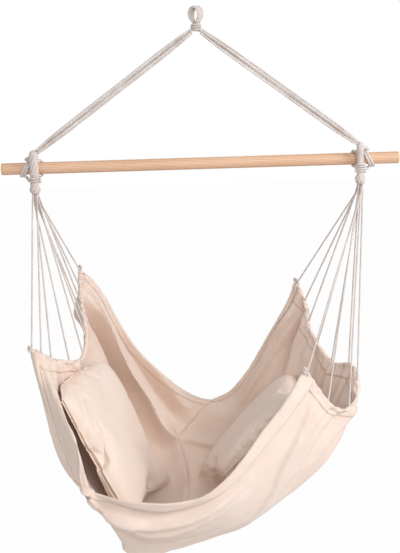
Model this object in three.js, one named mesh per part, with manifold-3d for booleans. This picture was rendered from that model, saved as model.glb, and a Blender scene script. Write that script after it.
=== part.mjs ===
// Hammock chair: a cotton canvas seat and two cushions, hung by cords from a round wooden bar.
// Sizes are in millimetres. +X runs along the bar, -Y faces the viewer and +Z is up.
// The origin is the point inside the hanging loop that bears on the hook.
import * as THREE from 'three';
import { mergeVertices } from 'three/addons/utils/BufferGeometryUtils.js';
import Module from 'manifold-3d';

const wasm = await Module();
wasm.setup();

// Clearances
const touch_gap = 0.3;
const soft_gap = 1.1;
const weld_distance = 0.0001;

// Bar
const bar_length = 1000;
const bar_diameter = 30;
const bar_end_round = 4;
const bar_drop = 382;
const bar_sides = 20;
const bar_round_steps = 2;

// Cords
const bridle_cord_diameter = 5.5;
const fan_cord_diameter = 4.6;
const whip_cord_diameter = 5;
const edge_rope_diameter = 8;
const cord_sides = 8;

// Hanging loop: a band of cords laid side by side
const loop_cords = 4;
const loop_cord_width = 5.6;
const loop_thickness = 6;
const loop_half_width = 16;
const loop_length = 38;
const loop_turn = THREE.MathUtils.degToRad(-45);
const loop_steps = 14;
// Centre line of the loop: shares of its half width and of its length, from limb to limb
const loop_path_shares = [
  [0.23, -1.05], [0.30, -0.96], [0.62, -0.78], [0.96, -0.52], [0.96, -0.24], [0.58, -0.02],
  [0, 0.08],
  [-0.58, -0.02], [-0.96, -0.24], [-0.96, -0.52], [-0.62, -0.78], [-0.30, -0.96], [-0.23, -1.05],
];

// Throat: a ball of cord between the loop and the bridle, wound over a round core
const throat_drop = 47;
const throat_turns = 3;
const throat_winding_radius = 12.5;

// Necks: the bundles that pass in front of the bar and open into the fans of cords
const left_neck_inset = 86;
const right_neck_inset = 101;
const neck_drop = 50;
const neck_ball_radius = 14;
const column_rise = 36;
const left_column_radius = 11.5;
const right_column_radius = 9;
const column_sides = 12;
const ball_sides = 12;
const ball_rings = 8;
const cut_ball_sides = 24;
const cut_ball_rings = 16;
const turning_gap = 0.2;
const left_neck_turns = 2;
const right_neck_turns = 4;
const winding_gap = 0.6;
const winding_end = 1.5;

// Hitch that ties each neck to the bar
const hitch_ring_thickness = 14;
const hitch_ring_reach = 33;
const hitch_ring_lean_share = 0.45;
const hitch_ring_sides = 6;
const hitch_ring_steps = 14;
const hitch_tie_way_share = 0.7;
const hitch_tie_bend_share = 0.33;
const hitch_tie_end_share = 0.5;
const hitch_strand_diameter = 8;
const hitch_strand_reach = 16;
const hitch_strand_opening = THREE.MathUtils.degToRad(35);

// Seat cloth
const seat_half_span = 420;
const seat_half_depth = 300;
const seat_drop = 900;
const cloth_thickness = 2.4;
const cloth_cells_across = 24;
const cloth_cells_along = 22;
const band_cells = 2;
const band_thickness = 1.6;
// Rails of the cloth from its back rim to its front rim. Each runs from the left edge to the right
// edge, and its points are shares: across of the half span, along of the half depth, down of the drop.
const rail_shares = [
  [[-0.78, 0.63, 0.262], [-0.65, 0.82, 0.345], [-0.44, 0.98, 0.535], [-0.13, 1.05, 0.680],
    [0.12, 1.00, 0.690], [0.37, 0.83, 0.530], [0.59, 0.63, 0.320]],
  [[-0.78, 0.53, 0.317], [-0.69, 0.73, 0.410], [-0.49, 0.92, 0.610], [-0.16, 0.97, 0.745],
    [0.16, 0.93, 0.725], [0.43, 0.75, 0.560], [0.64, 0.53, 0.383]],
  [[-0.76, 0.38, 0.372], [-0.72, 0.55, 0.500], [-0.52, 0.73, 0.728], [-0.17, 0.80, 0.833],
    [0.20, 0.77, 0.806], [0.49, 0.57, 0.633], [0.66, 0.35, 0.450]],
  [[-0.73, 0.18, 0.439], [-0.74, 0.32, 0.589], [-0.58, 0.42, 0.811], [-0.22, 0.47, 0.917],
    [0.20, 0.43, 0.890], [0.57, 0.33, 0.725], [0.77, 0.15, 0.528]],
  [[-0.76, -0.07, 0.483], [-0.81, 0.02, 0.650], [-0.62, 0.05, 0.872], [-0.30, 0.05, 0.983],
    [0.20, 0.05, 0.950], [0.61, 0.00, 0.785], [0.89, -0.08, 0.528]],
  [[-0.88, -0.30, 0.467], [-0.88, -0.28, 0.661], [-0.66, -0.32, 0.885], [-0.44, -0.35, 1.000],
    [0.16, -0.35, 0.965], [0.65, -0.32, 0.780], [0.88, -0.28, 0.611]],
  [[-0.94, -0.48, 0.439], [-0.92, -0.53, 0.633], [-0.70, -0.63, 0.825], [-0.40, -0.72, 0.930],
    [0.10, -0.72, 0.875], [0.53, -0.60, 0.711], [0.74, -0.45, 0.611]],
  [[-1.00, -0.62, 0.411], [-0.91, -0.72, 0.645], [-0.73, -0.83, 0.772], [-0.40, -0.90, 0.806],
    [-0.02, -0.88, 0.800], [0.33, -0.77, 0.633], [0.57, -0.62, 0.494]],
];
// Main folds: each starts and ends at shares across and along the cloth, and fades at its ends
const fold_shares = [
  { from: [0.02, 0.10], to: [0.52, 0.36], breadth: 0.085 },
  { from: [0.02, 0.24], to: [0.50, 0.46], breadth: 0.085 },
  { from: [0.00, 0.86], to: [0.30, 0.86], breadth: 0.075 },
  { from: [0.10, 0.93], to: [0.75, 0.90], breadth: 0.075 },
  { from: [0.62, 0.14], to: [0.98, 0.22], breadth: 0.090 },
];
const fold_heights = [26, -22, 20, -16, -14];

// Cords of each fan: where they meet the edge of the cloth, as shares of its length from the back
const fan_end_shares = [0.005, 0.12, 0.24, 0.34, 0.43, 0.53, 0.64, 0.77, 0.89, 0.995];
const fan_rows = 3;
const fan_row_offset = 4.9;
const fan_open_share = 1.35;
const fan_lead = 34;
const fan_steps = 5;
const fan_sides = 6;
const edge_rope_steps = 22;
const edge_ease = 2;
const edge_step = 0.01;
const corner_knot_radius = 8;
const knot_lead = 6;

// Cushions
const cushion_side = 400;
const cushion_thickness = 116;
const cushion_pull_share = 0.06;
const cushion_crown_power = 0.42;
const cushion_cells = 10;
const press_reach = 22;
const press_depth = 70;
const cover_wall = 2.5;
const cover_edge_wall = 7;
const filling_gap = 0.7;
const filling_inset = 12;
const zip_length = 220;
const zip_opening = 4;
const zip_depth = 26;
const left_cushion = {
  name: 'left', place: [-222, -22, -1082], long_way: [0.56, -0.03, -0.83], wide_way: [0.13, 1.01, 0.20],
};
const right_cushion = {
  name: 'right', place: [112, -8, -1106], long_way: [0.77, 0.07, 0.63], wide_way: [0.02, 1.00, 0.02],
};

// Materials
const canvas = new THREE.MeshStandardMaterial({ color: 0xe6cfb8, roughness: 0.9, metalness: 0 });
const cushion_canvas = new THREE.MeshStandardMaterial({ color: 0xe8d2bf, roughness: 0.9, metalness: 0 });
const cotton = new THREE.MeshStandardMaterial({ color: 0xe9ded2, roughness: 0.95, metalness: 0 });
const wood = new THREE.MeshStandardMaterial({ color: 0xc08a5c, roughness: 0.5, metalness: 0 });
const wadding = new THREE.MeshStandardMaterial({ color: 0xf2efe8, roughness: 1, metalness: 0 });

// How far a winding's straight ends reach from its core's middle
function windingReach(radius) {
  return Math.hypot(radius, winding_end) + whip_cord_diameter / 2;
}

// Values that follow from the sizes
const bar_radius = bar_diameter / 2;
const whip_reach = right_column_radius + touch_gap + whip_cord_diameter;
const bar_setback = bar_radius + touch_gap + whip_reach;
const neck_height = -bar_drop - neck_drop;
const throat = new THREE.Vector3(0, 0, -throat_drop);
const throat_reach = windingReach(throat_winding_radius);
const edge_rope_radius = edge_rope_diameter / 2;
const chair = new THREE.Group();

// The closed solid of a geometry, and the geometry of a solid
function solidOf(geometry) {
  const plain = geometry.index ? geometry.toNonIndexed() : geometry.clone();
  plain.deleteAttribute('normal');
  plain.deleteAttribute('uv');
  const merged = mergeVertices(plain, weld_distance);
  const vertProperties = new Float32Array(merged.attributes.position.array);
  const triVerts = new Uint32Array(merged.index.array);
  return new wasm.Manifold(new wasm.Mesh({ numProp: 3, vertProperties, triVerts }));
}

function geometryOf(solid) {
  const mesh = solid.getMesh();
  const geometry = new THREE.BufferGeometry();
  geometry.setAttribute('position', new THREE.BufferAttribute(mesh.vertProperties, 3));
  geometry.setIndex(new THREE.BufferAttribute(mesh.triVerts, 1));
  geometry.computeVertexNormals();
  return geometry;
}

function addPiece(name, geometry, material) {
  const piece = new THREE.Mesh(geometry, material);
  piece.name = name;
  chair.add(piece);
}

// A tube along a curve, with flat ends
function tubeAlong(curve, diameter, sides, steps) {
  const section = new THREE.Shape();
  for (let i = 0; i < sides; i += 1) {
    const angle = (2 * Math.PI * i) / sides;
    const x = (diameter / 2) * Math.cos(angle);
    const y = (diameter / 2) * Math.sin(angle);
    if (i === 0) {
      section.moveTo(x, y);
    } else {
      section.lineTo(x, y);
    }
  }
  section.closePath();
  return new THREE.ExtrudeGeometry(section, { steps, bevelEnabled: false, extrudePath: curve });
}

function curveThrough(points) {
  return new THREE.CatmullRomCurve3(points, false, 'centripetal');
}

function ballAt(centre, radius, sides = ball_sides, rings = ball_rings) {
  const ball = new THREE.SphereGeometry(radius, sides, rings);
  ball.rotateX(Math.PI / 2);
  ball.translate(centre.x, centre.y, centre.z);
  return ball;
}

// The room that a ball needs to turn in, whichever way its facets face
function ballRoom(centre, radius) {
  const flat_share = Math.cos(Math.PI / cut_ball_sides) * Math.cos(Math.PI / (2 * cut_ball_rings));
  const reach = (radius + turning_gap) / flat_share;
  return solidOf(ballAt(centre, reach, cut_ball_sides, cut_ball_rings));
}

function postAt(x, y, low, high, radius) {
  const post = new THREE.CylinderGeometry(radius, radius, high - low, column_sides);
  post.rotateX(Math.PI / 2);
  post.translate(x, y, (low + high) / 2);
  return post;
}

// A closed body from a grid of points on its front and its back, row by row
function slabOf(front, back) {
  const rows = front.length - 1;
  const columns = front[0].length - 1;
  const positions = [];
  const addTriangle = (a, b, c) => positions.push(...a.toArray(), ...b.toArray(), ...c.toArray());
  const addQuad = (a, b, c, d) => {
    addTriangle(a, b, c);
    addTriangle(a, c, d);
  };
  for (let i = 0; i < rows; i += 1) {
    for (let j = 0; j < columns; j += 1) {
      addQuad(front[i][j], front[i + 1][j], front[i + 1][j + 1], front[i][j + 1]);
      addQuad(back[i][j], back[i][j + 1], back[i + 1][j + 1], back[i + 1][j]);
    }
  }
  for (let i = 0; i < rows; i += 1) {
    addQuad(front[i + 1][0], front[i][0], back[i][0], back[i + 1][0]);
    addQuad(front[i][columns], front[i + 1][columns], back[i + 1][columns], back[i][columns]);
  }
  for (let j = 0; j < columns; j += 1) {
    addQuad(front[0][j], front[0][j + 1], back[0][j + 1], back[0][j]);
    addQuad(front[rows][j + 1], front[rows][j], back[rows][j], back[rows][j + 1]);
  }
  const geometry = new THREE.BufferGeometry();
  geometry.setAttribute('position', new THREE.Float32BufferAttribute(positions, 3));
  return geometry;
}

// A cord wound round an upright core: one unbroken tube whose ends run straight
const winding_steps = 24;
const winding_sides = 6;

function winding(name, centre, turns, pitch, radiusAt) {
  const rings = [];
  const count = turns * winding_steps;
  const half_height = (turns * pitch) / 2;
  const pointAt = (step) => {
    const angle = (2 * Math.PI * step) / winding_steps;
    const height = (pitch * step) / winding_steps - half_height;
    const radius = radiusAt(height);
    return new THREE.Vector3(radius * Math.cos(angle), radius * Math.sin(angle), height).add(centre);
  };
  const ringAt = (point, tangent, outward) => {
    const side = new THREE.Vector3().crossVectors(tangent, outward).normalize();
    const square = new THREE.Vector3().crossVectors(side, tangent).normalize();
    const ring = [];
    for (let i = 0; i < winding_sides; i += 1) {
      const angle = (2 * Math.PI * (i + 0.5)) / winding_sides;
      const reach = whip_cord_diameter / 2;
      ring.push(point.clone()
        .addScaledVector(square, reach * Math.cos(angle))
        .addScaledVector(side, reach * Math.sin(angle)));
    }
    return ring;
  };
  for (let step = 0; step <= count; step += 1) {
    const point = pointAt(step);
    const tangent = pointAt(step + 0.5).sub(pointAt(step - 0.5)).normalize();
    const outward = point.clone().sub(centre).setZ(0).normalize();
    if (step === 0) {
      rings.push(ringAt(point.clone().addScaledVector(tangent, -winding_end), tangent, outward));
    }
    rings.push(ringAt(point, tangent, outward));
    if (step === count) {
      rings.push(ringAt(point.clone().addScaledVector(tangent, winding_end), tangent, outward));
    }
  }
  let least = Infinity;
  rings.forEach((ring, i) => rings.slice(i + winding_steps / 2).forEach((other) => {
    ring.forEach((a) => other.forEach((b) => {
      least = Math.min(least, a.distanceTo(b));
    }));
  }));
  console.log(`${name}: least gap to itself ${least.toFixed(2)} mm`);
  const positions = [];
  const addTriangle = (a, b, c) => positions.push(...a.toArray(), ...b.toArray(), ...c.toArray());
  for (let i = 0; i < rings.length - 1; i += 1) {
    for (let j = 0; j < winding_sides; j += 1) {
      const k = (j + 1) % winding_sides;
      addTriangle(rings[i][j], rings[i][k], rings[i + 1][k]);
      addTriangle(rings[i][j], rings[i + 1][k], rings[i + 1][j]);
    }
  }
  const last = rings[rings.length - 1];
  for (let j = 1; j < winding_sides - 1; j += 1) {
    addTriangle(rings[0][0], rings[0][j + 1], rings[0][j]);
    addTriangle(last[0], last[j], last[j + 1]);
  }
  const geometry = new THREE.BufferGeometry();
  geometry.setAttribute('position', new THREE.Float32BufferAttribute(positions, 3));
  addPiece(name, geometry, cotton);
}

// Hanging loop
function addHangingLoop() {
  const half_width = (loop_cords * loop_cord_width) / 2;
  const half_thickness = loop_thickness / 2;
  const outline = [];
  for (let i = 0; i < loop_cords; i += 1) {
    const middle = -half_width + loop_cord_width * (i + 0.5);
    outline.push([middle - loop_cord_width / 4, half_thickness], [middle + loop_cord_width / 4, half_thickness]);
    if (i < loop_cords - 1) {
      outline.push([middle + loop_cord_width / 2, half_thickness / 2]);
    }
  }
  outline.push([half_width, 0]);
  const under = outline.slice(0, -1).reverse().map(([x, y]) => [x, -y]);
  const shape = new THREE.Shape([...outline, ...under, [-half_width, 0]].map(([x, y]) => new THREE.Vector2(x, y)));
  const path = curveThrough(loop_path_shares.map(([across, down]) => (
    new THREE.Vector3(across * loop_half_width, 0, down * loop_length)
  )));
  const band = new THREE.ExtrudeGeometry(shape, { steps: loop_steps, bevelEnabled: false, extrudePath: path });
  band.rotateZ(loop_turn);
  addPiece('hanging_loop', geometryOf(solidOf(band).subtract(ballRoom(throat, throat_reach))), cotton);
}

// Throat
function addThroat() {
  const core_radius = throat_winding_radius - whip_cord_diameter / 2 - 2 * touch_gap;
  addPiece('throat_core', ballAt(throat, core_radius), cotton);
  const pitch = whip_cord_diameter + winding_gap;
  winding('throat_winding', throat, throat_turns, pitch, (height) => (
    Math.sqrt(throat_winding_radius ** 2 - height ** 2)
  ));
}

// Spreader bar
function addBar() {
  const profile = [new THREE.Vector2(0, -bar_length / 2)];
  const end = bar_length / 2 - bar_end_round;
  for (let i = 0; i <= bar_round_steps; i += 1) {
    const angle = (Math.PI / 2) * (i / bar_round_steps);
    profile.push(new THREE.Vector2(
      bar_radius - bar_end_round + bar_end_round * Math.sin(angle),
      -end - bar_end_round * Math.cos(angle),
    ));
  }
  const upper = profile.slice().reverse().map((point) => new THREE.Vector2(point.x, -point.y));
  const bar = new THREE.LatheGeometry([...profile, ...upper], bar_sides);
  bar.rotateZ(-Math.PI / 2);
  bar.translate(0, bar_setback, -bar_drop);
  addPiece('spreader_bar', bar, wood);
}

// One side's bridle, neck and hitch
function addSpreaderSide(side) {
  const { name, sign, reach, column_radius, turns } = side;
  const x = sign * reach;
  const top = new THREE.Vector3(x, 0, -bar_drop + column_rise);
  const foot = new THREE.Vector3(x, 0, neck_height);
  const column = solidOf(postAt(x, 0, foot.z, top.z, column_radius))
    .add(solidOf(ballAt(top, column_radius)))
    .add(solidOf(ballAt(foot, neck_ball_radius)));
  addPiece(`${name}_neck`, geometryOf(column), cotton);
  const pitch = whip_cord_diameter + winding_gap;
  const low = foot.z + neck_ball_radius + whip_cord_diameter / 2 + 2 * touch_gap;
  const middle = new THREE.Vector3(x, 0, low + (turns * pitch) / 2);
  const radius = column_radius + touch_gap + whip_cord_diameter / 2;
  winding(`${name}_neck_winding`, middle, turns, pitch, () => radius);

  const stretch = postAt(x, 0, foot.z, top.z, column_radius + touch_gap);
  const wound_top = middle.z + (turns * pitch) / 2 + whip_cord_diameter;
  const wound = postAt(x, 0, foot.z, wound_top, windingReach(radius) + touch_gap);
  const kept_clear = solidOf(stretch).add(solidOf(wound)).add(solidOf(ballAt(top, column_radius + touch_gap)));
  const ring_radius = bar_radius + touch_gap + hitch_ring_thickness / 2;
  const ring = new THREE.TorusGeometry(ring_radius, hitch_ring_thickness / 2, hitch_ring_sides, hitch_ring_steps);
  ring.rotateY(Math.PI / 2);
  const lean = new THREE.Matrix4().makeShear(-sign * hitch_ring_lean_share, 0, 0, 0, 0, 0);
  ring.applyMatrix4(lean);
  const shift = sign * (hitch_ring_reach - hitch_ring_lean_share * ring_radius);
  ring.translate(x + shift, bar_setback, -bar_drop);
  const tie = (way) => {
    const start = new THREE.Vector3(x + shift, bar_setback, -bar_drop + way * ring_radius);
    const bend = start.z + way * hitch_tie_bend_share * hitch_ring_thickness;
    const turn = new THREE.Vector3(x + shift * hitch_tie_way_share, bar_setback / 2, bend);
    const end = new THREE.Vector3(x, 0, start.z + way * hitch_tie_end_share * hitch_ring_thickness);
    return solidOf(tubeAlong(curveThrough([start, turn, end]), hitch_strand_diameter, cord_sides, cord_sides));
  };
  const bar_room = solidOf(new THREE.CylinderGeometry(
    bar_radius + touch_gap, bar_radius + touch_gap, 2 * reach, bar_sides,
  ).rotateZ(Math.PI / 2).translate(x, bar_setback, -bar_drop));
  const hitch = solidOf(ring).add(tie(1)).add(tie(-1)).subtract(kept_clear).subtract(bar_room);
  addPiece(`${name}_hitch_ring`, geometryOf(hitch), cotton);

  const strand_radius = bar_radius + touch_gap + hitch_strand_diameter / 2;
  const strand_points = [];
  for (let i = 0; i <= cord_sides; i += 1) {
    const share = i / cord_sides;
    const angle = hitch_strand_opening + share * (2 * Math.PI - 2 * hitch_strand_opening);
    strand_points.push(new THREE.Vector3(
      x - sign * hitch_strand_reach * Math.sqrt(Math.sin(Math.PI * share)),
      bar_setback - strand_radius * Math.cos(angle),
      -bar_drop + strand_radius * Math.sin(angle),
    ));
  }
  const strand = solidOf(tubeAlong(curveThrough(strand_points), hitch_strand_diameter, cord_sides, 2 * cord_sides));
  addPiece(`${name}_hitch_strand`, geometryOf(strand.subtract(kept_clear).subtract(bar_room)), cotton);

  addBridle(side, top, kept_clear);
}

// Cords of one side's bridle: a square bundle at both ends that opens into a ribbon between them
const bridle_cords = 4;
const bridle_steps = 8;
const bridle_bundle_share = 0.56;
// Where the bridle's cords pass: shares of the way, of the ribbon's width and of the bundle's depth
const bridle_station_shares = [[0.12, 0.9, 1], [0.5, 1, 0.5], [0.88, 0.9, 1]];

function addBridle(side, top, kept_clear) {
  const along = top.clone().sub(throat).normalize();
  const across = new THREE.Vector3(-along.z, 0, along.x);
  const ball = ballRoom(throat, throat_reach);
  const bundle = bridle_bundle_share * bridle_cord_diameter;
  for (let i = 0; i < bridle_cords; i += 1) {
    const row = i % 2 === 0 ? -1 : 1;
    const rank = i < bridle_cords / 2 ? -1 : 1;
    const middle = i - (bridle_cords - 1) / 2;
    const placed = (point, sideways, depth) => (
      point.clone().addScaledVector(across, sideways).setY(point.y + depth)
    );
    const points = [
      placed(throat, rank * bundle, row * bundle),
      ...bridle_station_shares.map(([way, width, depth]) => (
        placed(throat.clone().lerp(top, way), width * middle * bridle_cord_diameter, depth * row * bundle)
      )),
      placed(top, rank * bundle, row * bundle),
    ];
    const cord = solidOf(tubeAlong(curveThrough(points), bridle_cord_diameter, cord_sides, bridle_steps));
    const cut = cord.subtract(ball).subtract(kept_clear);
    addPiece(`${side.name}_bridle_cord_${i + 1}`, geometryOf(cut), cotton);
  }
}

// Seat cloth: a smooth sheet through the rails, with its folds
const rails = rail_shares.map((rail) => new THREE.CatmullRomCurve3(rail.map(([across, along, down]) => (
  new THREE.Vector3(across * seat_half_span, along * seat_half_depth, neck_height - down * seat_drop)
)), false, 'catmullrom', 0.5));

function smoothAt(across, along) {
  const line = new THREE.CatmullRomCurve3(rails.map((rail) => rail.getPoint(across)), false, 'catmullrom', 0.5);
  return line.getPoint(along);
}

function inwardAt(across, along) {
  const step = 0.01;
  const low_across = Math.max(0, across - step);
  const high_across = Math.min(1, across + step);
  const low_along = Math.max(0, along - step);
  const high_along = Math.min(1, along + step);
  const sideways = smoothAt(high_across, along).sub(smoothAt(low_across, along));
  const lengthways = smoothAt(across, high_along).sub(smoothAt(across, low_along));
  return new THREE.Vector3().crossVectors(lengthways, sideways).normalize();
}

function foldAt(across, along) {
  let height = 0;
  fold_shares.forEach(({ from, to, breadth }, i) => {
    const share = (across - from[0]) / (to[0] - from[0]);
    if (share > 0 && share < 1) {
      const crest = from[1] + share * (to[1] - from[1]);
      const away = Math.min(1, Math.abs(along - crest) / breadth);
      height += fold_heights[i] * (1 - away) ** 2 * (1 + 2 * away) * Math.sin(Math.PI * share) ** 0.6;
    }
  });
  return height;
}

function sheetAt(across, along) {
  return smoothAt(across, along).addScaledVector(inwardAt(across, along), foldAt(across, along));
}

// Corners of the cloth's cells, each with the direction that faces into the seat
const cloth_points = [];
for (let i = 0; i <= cloth_cells_along; i += 1) {
  const along = i / cloth_cells_along;
  const row = [];
  for (let j = 0; j <= cloth_cells_across; j += 1) {
    row.push(sheetAt(j / cloth_cells_across, along));
  }
  const pullIn = (edge, next) => {
    const across = edge / cloth_cells_across;
    const after = sheetAt(across, Math.min(1, along + edge_step));
    const tangent = after.sub(sheetAt(across, Math.max(0, along - edge_step))).normalize();
    const way = row[next].clone().sub(row[edge]);
    way.addScaledVector(tangent, -way.dot(tangent)).normalize();
    row[edge].addScaledVector(way, edge_rope_radius + edge_ease);
  };
  pullIn(0, 1);
  pullIn(cloth_cells_across, cloth_cells_across - 1);
  cloth_points.push(row);
}
const cloth_normals = cloth_points.map((row, i) => row.map((point, j) => {
  const left = row[Math.max(0, j - 1)];
  const right = row[Math.min(cloth_cells_across, j + 1)];
  const back = cloth_points[Math.max(0, i - 1)][j];
  const front = cloth_points[Math.min(cloth_cells_along, i + 1)][j];
  const sideways = right.clone().sub(left);
  const lengthways = front.clone().sub(back);
  return new THREE.Vector3().crossVectors(lengthways, sideways).normalize();
}));

function layer(first, last, offset) {
  return cloth_points.map((row, i) => row.slice(first, last + 1).map((point, j) => (
    point.clone().addScaledVector(cloth_normals[i][first + j], offset)
  )));
}

function addCloth() {
  const half = cloth_thickness / 2;
  addPiece('seat_cloth', slabOf(
    layer(0, cloth_cells_across, half), layer(0, cloth_cells_across, -half),
  ), canvas);
  const near = -half - touch_gap;
  const far = near - band_thickness;
  const last = cloth_cells_across;
  addPiece('left_edge_band', slabOf(layer(0, band_cells, near), layer(0, band_cells, far)), canvas);
  addPiece('right_edge_band', slabOf(layer(last - band_cells, last, near), layer(last - band_cells, last, far)), canvas);
}

// One side's fan of cords, the rope in the edge of the cloth and the knots at its ends
function addFan(side) {
  const { name, sign, reach, edge } = side;
  const neck = new THREE.Vector3(sign * reach, 0, neck_height);
  const edge_points = [];
  for (let i = 0; i <= edge_rope_steps; i += 1) {
    edge_points.push(sheetAt(edge, i / edge_rope_steps));
  }
  const edge_curve = curveThrough(edge_points);
  const rope = tubeAlong(edge_curve, edge_rope_diameter, cord_sides, edge_rope_steps);
  addPiece(`${name}_edge_rope`, rope, cotton);
  const rope_room = solidOf(tubeAlong(edge_curve, edge_rope_diameter + 2 * touch_gap, cord_sides, edge_rope_steps));
  const neck_room = ballRoom(neck, neck_ball_radius);
  const knots = [['back', 0, -1], ['front', 1, 1]].map(([place, share, way]) => {
    const end = edge_curve.getPoint(share);
    const centre = end.clone().addScaledVector(edge_curve.getTangent(share), way * knot_lead);
    const knot = solidOf(ballAt(centre, corner_knot_radius)).subtract(solidOf(ballAt(end, edge_rope_radius + 2 * touch_gap)));
    addPiece(`${name}_${place}_knot`, geometryOf(knot), cotton);
    return solidOf(ballAt(centre, corner_knot_radius + touch_gap));
  });
  fan_end_shares.forEach((share, i) => {
    const end = sheetAt(edge, share);
    const angle = fan_open_share * Math.atan2(end.y, neck.z - end.z);
    const row = sign * ((fan_rows - 1) / 2 - (i % fan_rows));
    const way = new THREE.Vector3(0, Math.sin(angle), -Math.cos(angle));
    const inside = neck.clone().addScaledVector(way, neck_ball_radius / 2);
    const lead = neck.clone().addScaledVector(way, fan_lead);
    inside.x += row * fan_row_offset;
    lead.x += row * fan_row_offset + (end.x - neck.x) * (fan_lead / neck.distanceTo(end)) / 2;
    const path = curveThrough([inside, lead, lead.clone().lerp(end, 0.5), end]);
    const cord = solidOf(tubeAlong(path, fan_cord_diameter, fan_sides, fan_steps));
    const cut = [neck_room, rope_room, ...knots].reduce((rest, room) => rest.subtract(room), cord);
    addPiece(`${name}_fan_cord_${i + 1}`, geometryOf(cut), cotton);
  });
}

// Where the cloth keeps a point of a cushion off it
const rest_samples = [];
const rest_cuts = 3;
for (let i = 0; i < cloth_cells_along; i += 1) {
  for (let j = 0; j < cloth_cells_across; j += 1) {
    for (let k = 0; k < rest_cuts ** 2; k += 1) {
      const down = (Math.floor(k / rest_cuts) + 0.5) / rest_cuts;
      const right = ((k % rest_cuts) + 0.5) / rest_cuts;
      const mix = (grid) => grid[i][j].clone().lerp(grid[i][j + 1], right)
        .lerp(grid[i + 1][j].clone().lerp(grid[i + 1][j + 1], right), down);
      rest_samples.push([mix(cloth_points), mix(cloth_normals).normalize()]);
    }
  }
}

function pressOff(point) {
  const wanted = cloth_thickness / 2 + soft_gap;
  let least = Infinity;
  let push = 0;
  let way = rest_samples[0][1];
  rest_samples.forEach(([place, normal]) => {
    const away = point.clone().sub(place);
    const distance = away.length();
    const height = away.dot(normal);
    if (distance < least) {
      least = distance;
      way = normal;
    }
    if (Math.abs(height) < press_depth && distance ** 2 - height ** 2 < press_reach ** 2) {
      push = Math.max(push, wanted - height);
    }
  });
  return way.clone().multiplyScalar(push);
}

// Cushion: a crowned square whose sides draw in between its corners, pressed against the cloth
function cushionGrid(cushion, half_side, half_thickness, face) {
  const long_way = new THREE.Vector3(...cushion.long_way).normalize();
  const wide_way = new THREE.Vector3(...cushion.wide_way);
  const up = new THREE.Vector3().crossVectors(long_way, wide_way).normalize();
  wide_way.crossVectors(up, long_way).normalize();
  const grid = [];
  for (let i = 0; i <= cushion_cells; i += 1) {
    const s = Math.sin((Math.PI / 2) * ((2 * i) / cushion_cells - 1));
    const row = [];
    for (let j = 0; j <= cushion_cells; j += 1) {
      const t = Math.sin((Math.PI / 2) * ((2 * j) / cushion_cells - 1));
      const crown = ((1 - s * s) * (1 - t * t)) ** cushion_crown_power;
      row.push(new THREE.Vector3(...cushion.place)
        .addScaledVector(long_way, half_side * s * (1 - cushion_pull_share * (1 - t * t)))
        .addScaledVector(wide_way, half_side * t * (1 - cushion_pull_share * (1 - s * s)))
        .addScaledVector(up, face * half_thickness * crown));
    }
    grid.push(row);
  }
  return grid;
}

function pressedCushion(cushion, inset, thinning) {
  const outer_half = cushion_side / 2;
  const outer_thickness = cushion_thickness / 2;
  const faces = [1, -1].map((face) => {
    const outer = cushionGrid(cushion, outer_half, outer_thickness, face);
    const grid = cushionGrid(cushion, outer_half - inset, outer_thickness - thinning, face);
    return grid.map((row, i) => row.map((point, j) => point.add(pressOff(outer[i][j]))));
  });
  const [front, back] = faces;
  const positions = [];
  const addTriangle = (a, b, c) => positions.push(...a.toArray(), ...b.toArray(), ...c.toArray());
  for (let i = 0; i < cushion_cells; i += 1) {
    for (let j = 0; j < cushion_cells; j += 1) {
      addTriangle(front[i][j], front[i + 1][j], front[i + 1][j + 1]);
      addTriangle(front[i][j], front[i + 1][j + 1], front[i][j + 1]);
      addTriangle(back[i][j], back[i + 1][j + 1], back[i + 1][j]);
      addTriangle(back[i][j], back[i][j + 1], back[i + 1][j + 1]);
    }
  }
  const geometry = new THREE.BufferGeometry();
  geometry.setAttribute('position', new THREE.Float32BufferAttribute(positions, 3));
  return solidOf(geometry);
}

// The room for a zip in the seam of a cushion's near side
function zipBox(cushion, opening, length) {
  const middle = cushionGrid(cushion, cushion_side / 2, 0, 1).map((row) => row[0]);
  const seam = middle[cushion_cells / 2].clone().add(pressOff(middle[cushion_cells / 2]));
  const long_way = new THREE.Vector3(...cushion.long_way).normalize();
  const up = new THREE.Vector3().crossVectors(long_way, new THREE.Vector3(...cushion.wide_way)).normalize();
  const wide_way = new THREE.Vector3().crossVectors(up, long_way).normalize();
  const box = new THREE.BoxGeometry(length, 2 * zip_depth, opening);
  box.applyMatrix4(new THREE.Matrix4().makeBasis(long_way, wide_way, up));
  box.translate(seam.x, seam.y, seam.z);
  return solidOf(box);
}

function addCushion(cushion) {
  const outer = pressedCushion(cushion, 0, 0);
  const hollow = pressedCushion(cushion, cover_edge_wall, cover_wall);
  const filling = pressedCushion(cushion, cover_edge_wall + filling_inset, cover_wall + filling_gap);
  const opening = zipBox(cushion, zip_opening, zip_length);
  const cover = outer.subtract(hollow).subtract(opening);
  const strip = zipBox(cushion, zip_opening - 2 * touch_gap, zip_length - 2 * touch_gap);
  const zip = outer.subtract(hollow).intersect(strip);
  addPiece(`${cushion.name}_cushion_cover`, geometryOf(cover), cushion_canvas);
  addPiece(`${cushion.name}_cushion_zip`, geometryOf(zip), cushion_canvas);
  addPiece(`${cushion.name}_cushion_filling`, geometryOf(filling), wadding);
}

const sides = [
  {
    name: 'left', sign: -1, edge: 0, reach: bar_length / 2 - left_neck_inset, column_radius: left_column_radius,
    turns: left_neck_turns,
  },
  {
    name: 'right', sign: 1, edge: 1, reach: bar_length / 2 - right_neck_inset, column_radius: right_column_radius,
    turns: right_neck_turns,
  },
];

addHangingLoop();
addThroat();
addBar();
sides.forEach(addSpreaderSide);
sides.forEach(addFan);
addCloth();
addCushion(left_cushion);
addCushion(right_cushion);

export default chair;
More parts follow.
